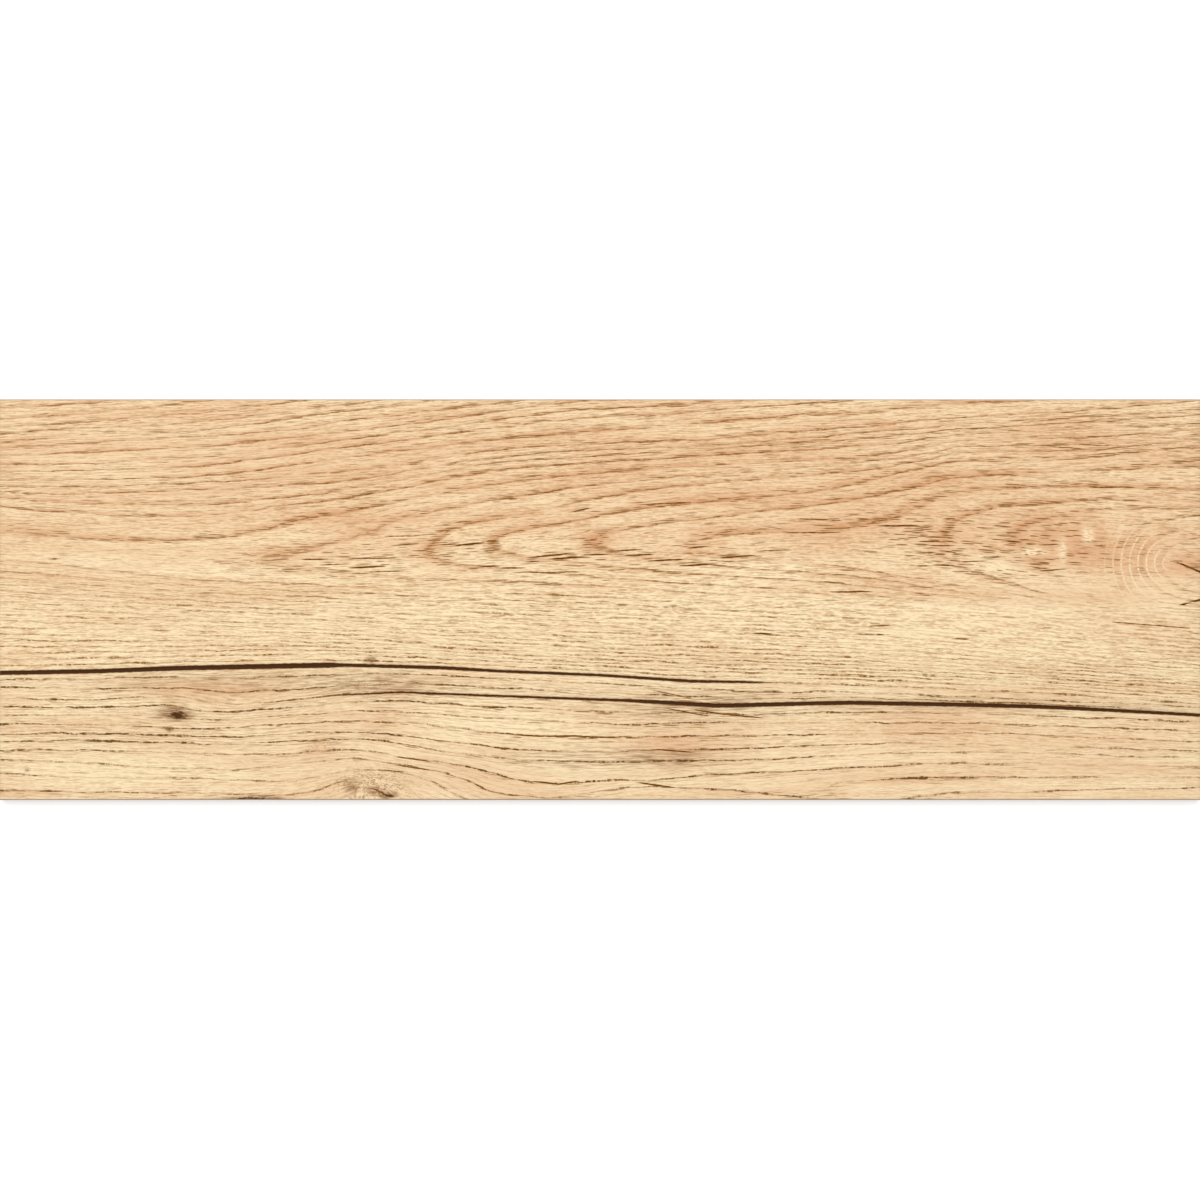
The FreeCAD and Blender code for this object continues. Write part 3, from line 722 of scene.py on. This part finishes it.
# Open pores: the widest ones where they lie, and more of them between the cathedral points.
PORE_TURN, PORE_LENGTH, PORE_HEIGHT = 0.9, 9, 0.6
place = node("Mapping", {0: grain, 2: (0, 0, PORE_TURN), 3: per_mm(PORE_LENGTH, PORE_HEIGHT)})
pore = node("TexVoronoi", {"Vector": place, "Scale": 1}, "Distance", voronoi_dimensions="2D")
pore_lot = node("SeparateXYZ", [pore.node.outputs["Color"]])
zone_crowd = node("Math", [drawn["pore_zone"], 0.35, -0.08], operation="MULTIPLY_ADD")
pore_crowd = node("Math", [drawn["short_pores"], 0.42, zone_crowd], operation="MULTIPLY_ADD")
pore_drawn = node("Math", [pore_crowd, pore_lot], operation="SUBTRACT")
pore_dark = node("MapRange", {0: pore_drawn, 1: 0.0, 2: 0.12, 4: 0.85}, **SOFT)
pore_shape = node("MapRange", [pore, 0.42, 0.24], **SOFT)
pore_mark = node("Math", [pore_dark, pore_shape], operation="MULTIPLY")
pore_depth = node("Math", [frayed_mm, 0.8, inside["pore"]], operation="MULTIPLY_ADD")
pore_wide = node("MapRange", [pore_depth, -0.22, 0.08], **SOFT)
pore_core = node("MapRange", [pore_depth, -0.05, 0.2], **SOFT)
pore_ink = node("Math", [pore_mark, pore_wide], operation="MAXIMUM")

# Broad clouds of straw and tan, the ring's own shade with them.
cloud_warm = node("MapRange", [pattern["cloud"], 0.3, 0.7, -0.15, 0.3])
warm_part = node("Math", [drawn["warm"], 0.8, cloud_warm], operation="MULTIPLY_ADD")
warm_all = node("Math", [upper_ink, 0.45, warm_part], operation="MULTIPLY_ADD", use_clamp=True)

# Checks: two dark lines with a tan fringe and frayed edges.
check_depth = node("Math", [frayed_mm, inside["check"]], operation="ADD")
check_fringe = node("MapRange", [check_depth, -0.5, 0.0], **SOFT)
check_mark = node("MapRange", [check_depth, -0.12, 0.2], **SOFT)

# Knots: a dark core in a grey-brown halo, both broken up by the fibre.
knot_depth = node("Math", [frayed_mm, 2.0, drawn["knots"]], operation="MULTIPLY_ADD")
knot_core = node("MapRange", [knot_depth, 0.5, 0.9], **SOFT)
knot_blurred = node("Math", [frayed_mm, 0.7, drawn["knots"]], operation="MULTIPLY_ADD")
knot_wide = node("MapRange", {0: knot_blurred, 1: 0.04, 2: 0.45, 4: 0.8}, **SOFT)
knot_streaks = node("MapRange", [pattern["thread"], 0.35, 0.65, 0.5, 1.0])
knot_halo = node("Math", [knot_wide, knot_streaks], operation="MULTIPLY")

# Burl: short curly marks that follow no ring.
CURL_LENGTH, CURL_HEIGHT = 2.6, 1.8
curls = node("TexNoise", {
    "Vector": node("Mapping", {0: grain, 3: per_mm(CURL_LENGTH, CURL_HEIGHT)}),
    "Scale": 1, "Detail": 3, "Roughness": 0.65, "Distortion": 1.5}, noise_dimensions="2D")
curl_dark = node("MapRange", {0: curls, 1: 0.48, 2: 0.64, 4: 0.75}, **SOFT)
burl_ink = node("Math", [curl_dark, drawn["burl"]], operation="MULTIPLY")

# Pale arcs beside the knot on the right end, and pale flecks.
arc_at = node("Math", [frayed_mm, 0.3, drawn["arc_count"]], operation="MULTIPLY_ADD")
arc_phase = node("Math", [arc_at, 0.5, -0.5], operation="WRAP")
arc_away = node("Math", [arc_phase], operation="ABSOLUTE")
arc_line = node("MapRange", {0: arc_away, 1: 0.16, 2: 0.04, 4: 0.85}, **SOFT)
arc_whole = node("Math", [arc_line, drawn["arc_zone"]], operation="MULTIPLY")
arc_ink = node("Math", [arc_whole, between_threads], operation="MULTIPLY")
fleck_part = node("MapRange", [pattern["speck"], 0.38, 0.53])
fleck_ink = node("Math", [drawn["flecks"], fleck_part], operation="MULTIPLY")

# How strongly lines, fibres and stains are inked in each part of the board.
line_most = node("MapRange", {0: drawn["lower"], 3: 1.06, 4: 1.16})
line_strength = node("Math", [drawn["foot"], -0.04, line_most], operation="MULTIPLY_ADD")
line_brown = node("Mix", {0: drawn["lower"], 6: RING_BROWN, 7: LINE_TAN}, 2, data_type="RGBA")
fibre_most = node("MapRange", {0: drawn["lower"], 3: 0.55, 4: 0.52})
fibre_share = node("Math", [drawn["foot"], -0.14, fibre_most], operation="MULTIPLY_ADD")
calm_share = node("MapRange", {0: drawn["calm"], 3: 1.0, 4: 0.45})
fibre_shown = node("Math", [fibre_dark, calm_share], operation="MULTIPLY")
dash_shown = node("Math", [dash_mark, calm_share], operation="MULTIPLY")
stain_streaks = node("MapRange", [pattern["thread"], 0.4, 0.62, 0.12, 0.85])

colour = node("Mix", {0: warm_all, 6: PALE_STRAW, 7: WARM_TAN}, 2, data_type="RGBA")
for mark, strength, ink in (
    (upper_ink, 0.28, RING_TAN),
    (fibre_shown, fibre_share, FIBRE_TAN),
    (drawn["stain"], stain_streaks, STAIN_GREY),
    (third_ink, 0.55, RING_BROWN),
    (line_ink, line_strength, line_brown),
    (line_core, 1.0, LINE_BROWN),
    (dash_shown, 0.85, RING_BROWN),
    (pore_ink, 1.0, PORE_TAN),
    (pore_mark, 0.6, PORE_BROWN),
    (pore_core, 1.0, PORE_BROWN),
    (fleck_ink, 1.0, FLECK_CREAM),
    (arc_ink, 1.0, PALE_STRAW),
    (burl_ink, 1.0, KNOT_GREY),
    (knot_halo, 1.0, KNOT_GREY),
    (knot_core, 1.0, KNOT_BROWN),
    (check_fringe, 0.5, PORE_TAN),
    (check_mark, 1.0, CHECK_BROWN),
):
    amount = node("Math", [mark, strength], operation="MULTIPLY", use_clamp=True)
    colour = node("Mix", {0: amount, 6: colour, 7: ink}, 2, data_type="RGBA")

hollow = node("Math", [dash_mark, pore_ink], operation="MAXIMUM")
bump = node("Bump", {"Height": hollow, "Strength": 0.2, "Distance": 0.1 * MM}, invert=True)
roughness = node("MapRange", [pattern["streak"], 0.3, 0.7, 0.5, 0.62])
shader = node("BsdfPrincipled", {
    "Base Color": colour, "Roughness": roughness, "IOR": SILICATE_IOR, "Specular IOR Level": GLAZE_SHEEN,
    "Normal": bump})
node("OutputMaterial", [shader])
mesh.materials.append(glaze)

# Ground porcelain: the sides and the arris show the fired body, warm grey with fine dark and pale grains
# and the faint lengthwise lines of the grinding wheel. Its grey is darker than the fired body: painted shade
# that makes the arris a dark line along the tile's edge. The arris lays the glaze open as a paler line.
# Real grains are under 0.1 mm and too fine to show, so they are drawn about 0.6 mm wide.
# Darker than the fired body: painted shade, so that the arris reads as a shaded dark line.
BODY_GREY_WITH_PAINTED_SHADE = linear("#8F7B66")
BODY_PALE = linear("#AE9A83")
BODY_SPECK = linear("#8A7C6B")
GLAZE_CUT = linear("#C4AC8C")
WHEEL_LINE = (40, 40, 0.3)
GROUND_GRAINS_PER_MM = 1.6
GLAZE_FROM_MM, GLAZE_TO_MM = 8.35, 8.45

ground = bpy.data.materials.new("ground_porcelain_body")
node = nodes_of(ground)
place_mm = node("VectorMath", {0: node("TexCoord", {}, "Object"), "Scale": 1 / MM}, operation="SCALE")
_, _, height_mm = node("SeparateXYZ", [place_mm]).node.outputs
along_wheel = node("VectorMath", [place_mm, WHEEL_LINE], operation="DIVIDE")
wheel = node("TexNoise", {"Vector": along_wheel, "Scale": 1, "Detail": 2})
grains = node("TexNoise", {
    "Vector": place_mm, "Scale": GROUND_GRAINS_PER_MM, "Detail": 3, "Roughness": 0.7})
speckle = node("MapRange", {0: grains, 1: 0.6, 2: 0.72, 4: 0.7})
glaze_line = node("MapRange", {0: height_mm, 1: GLAZE_FROM_MM, 2: GLAZE_TO_MM, 4: 0.6})
colour = node("Mix", {0: wheel, 6: BODY_GREY_WITH_PAINTED_SHADE, 7: BODY_PALE}, 2, data_type="RGBA")
colour = node("Mix", {0: speckle, 6: colour, 7: BODY_SPECK}, 2, data_type="RGBA")
colour = node("Mix", {0: glaze_line, 6: colour, 7: GLAZE_CUT}, 2, data_type="RGBA")
bump = node("Bump", {"Height": wheel, "Strength": 0.3, "Distance": 0.05 * MM})
roughness = node("MapRange", [grains, 0.3, 0.7, 0.6, 0.8])
shader = node("BsdfPrincipled", {
    "Base Color": colour, "Roughness": roughness, "IOR": SILICATE_IOR, "Normal": bump})
node("OutputMaterial", [shader])
mesh.materials.append(ground)

# Unglazed porcelain, as pressed: a dull warm grey back, dusted with white kiln wash where the ribs rode the
# rollers of the kiln, and left darker in the recesses. Its grains too are drawn coarser than they are.
WASH_WHITE = linear("#DAD3C7")
PRESSED_GRAINS_PER_MM = 1.2
WASH_DRIFT = (60, 12, 1)
WASH_REACH_MM = 0.3

pressed = bpy.data.materials.new("unglazed_pressed_porcelain")
node = nodes_of(pressed)
place_mm = node("VectorMath", {0: node("TexCoord", {}, "Object"), "Scale": 1 / MM}, operation="SCALE")
_, _, height_mm = node("SeparateXYZ", [place_mm]).node.outputs
grains = node("TexNoise", {
    "Vector": place_mm, "Scale": PRESSED_GRAINS_PER_MM, "Detail": 4, "Roughness": 0.7})
along_rollers = node("VectorMath", [place_mm, WASH_DRIFT], operation="DIVIDE")
dusting = node("TexNoise", {"Vector": along_rollers, "Scale": 1, "Detail": 4})
on_rib = node("MapRange", [height_mm, WASH_REACH_MM, 0.0])
dusted = node("MapRange", [dusting, 0.35, 0.62, 0.35, 0.85])
wash = node("Math", [on_rib, dusted], operation="MULTIPLY")
colour = node("Mix", {0: grains, 6: BODY_SPECK, 7: BODY_PALE}, 2, data_type="RGBA")
colour = node("Mix", {0: wash, 6: colour, 7: WASH_WHITE}, 2, data_type="RGBA")
bump = node("Bump", {"Height": grains, "Strength": 0.4, "Distance": 0.1 * MM})
roughness = node("MapRange", {0: wash, 3: 0.75, 4: 0.9})
shader = node("BsdfPrincipled", {
    "Base Color": colour, "Roughness": roughness, "IOR": SILICATE_IOR, "Normal": bump})
node("OutputMaterial", [shader])
mesh.materials.append(pressed)

scene = bpy.context.scene
plank = bpy.data.objects.new("plank", mesh)
scene.collection.objects.link(plank)
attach(plank, "root")
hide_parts(TILE)

# Studio: a white floor under the tile, soft light from the sky and a large lamp beyond the tile's rear side.
# The camera stands straight above, where the face fills the width of the picture.
FLOOR_HALF = 3.0
FLOOR_DROP = 0.02 * MM
FLOOR_WHITE = linear("#F5F4F2")
FLOOR_GLOW = 0.4
WHITE = linear("#FFFFFF")
floor_mesh = bpy.data.meshes.new("studio_floor")
floor_mesh.from_pydata(
    [(x * FLOOR_HALF, y * FLOOR_HALF, -FLOOR_DROP) for x, y in ((-1, -1), (1, -1), (1, 1), (-1, 1))],
    [], [(0, 1, 2, 3)])
studio_white = bpy.data.materials.new("studio_white")
node = nodes_of(studio_white)
rays = node("LightPath", {}).node.outputs
seen = node("Math", [rays["Is Camera Ray"], rays["Is Glossy Ray"]], operation="MAXIMUM")
seen = node("Math", [seen, rays["Is Transmission Ray"]], operation="MAXIMUM")
glow = node("Math", [seen, FLOOR_GLOW], operation="MULTIPLY")
matt = node("BsdfDiffuse", {"Color": FLOOR_WHITE})
lit = node("Emission", {"Color": WHITE, "Strength": glow})
node("OutputMaterial", [node("AddShader", [matt, lit])])
floor_mesh.materials.append(studio_white)
studio_floor = bpy.data.objects.new("studio_floor", floor_mesh)
scene.collection.objects.link(studio_floor)

SKY_LIGHT = 0.6
world = bpy.data.worlds.new("studio_sky")
node = nodes_of(world)
rays = node("LightPath", {}).node.outputs
seen = node("Math", [rays["Is Camera Ray"], rays["Is Glossy Ray"]], operation="MAXIMUM")
strength = node("MapRange", {0: seen, 3: SKY_LIGHT, 4: 1.0})
node("OutputWorld", [node("Background", {"Color": WHITE, "Strength": strength})])
scene.world = world

LAMP_SIZE = 1.6
LAMP_PLACE = (-0.2, 0.9, 1.9)
LAMP_WATTS = 25.0
lamp_data = bpy.data.lights.new("studio_lamp", "AREA")
lamp_data.shape = "SQUARE"
lamp_data.size = LAMP_SIZE
lamp_data.energy = LAMP_WATTS
lamp = bpy.data.objects.new("studio_lamp", lamp_data)
lamp.location = LAMP_PLACE
lamp.rotation_euler = (-lamp.location).to_track_quat("-Z", "Y").to_euler()
scene.collection.objects.link(lamp)

CAMERA_LENS = 100.0
CAMERA_SENSOR = 36.0
camera_data = bpy.data.cameras.new("camera")
camera_data.lens = CAMERA_LENS
camera_data.sensor_width = CAMERA_SENSOR
camera = bpy.data.objects.new("camera", camera_data)
camera_rise = 2 * (half_length - ARRIS) * CAMERA_LENS / CAMERA_SENSOR
camera.location = (0, (PHOTO_CENTRE_Y - PHOTO_SIDE / 2) * PIXEL, face_height - ARRIS + camera_rise)
scene.collection.objects.link(camera)
bpy.context.scene.camera = camera
scene.view_settings.view_transform = "Standard"
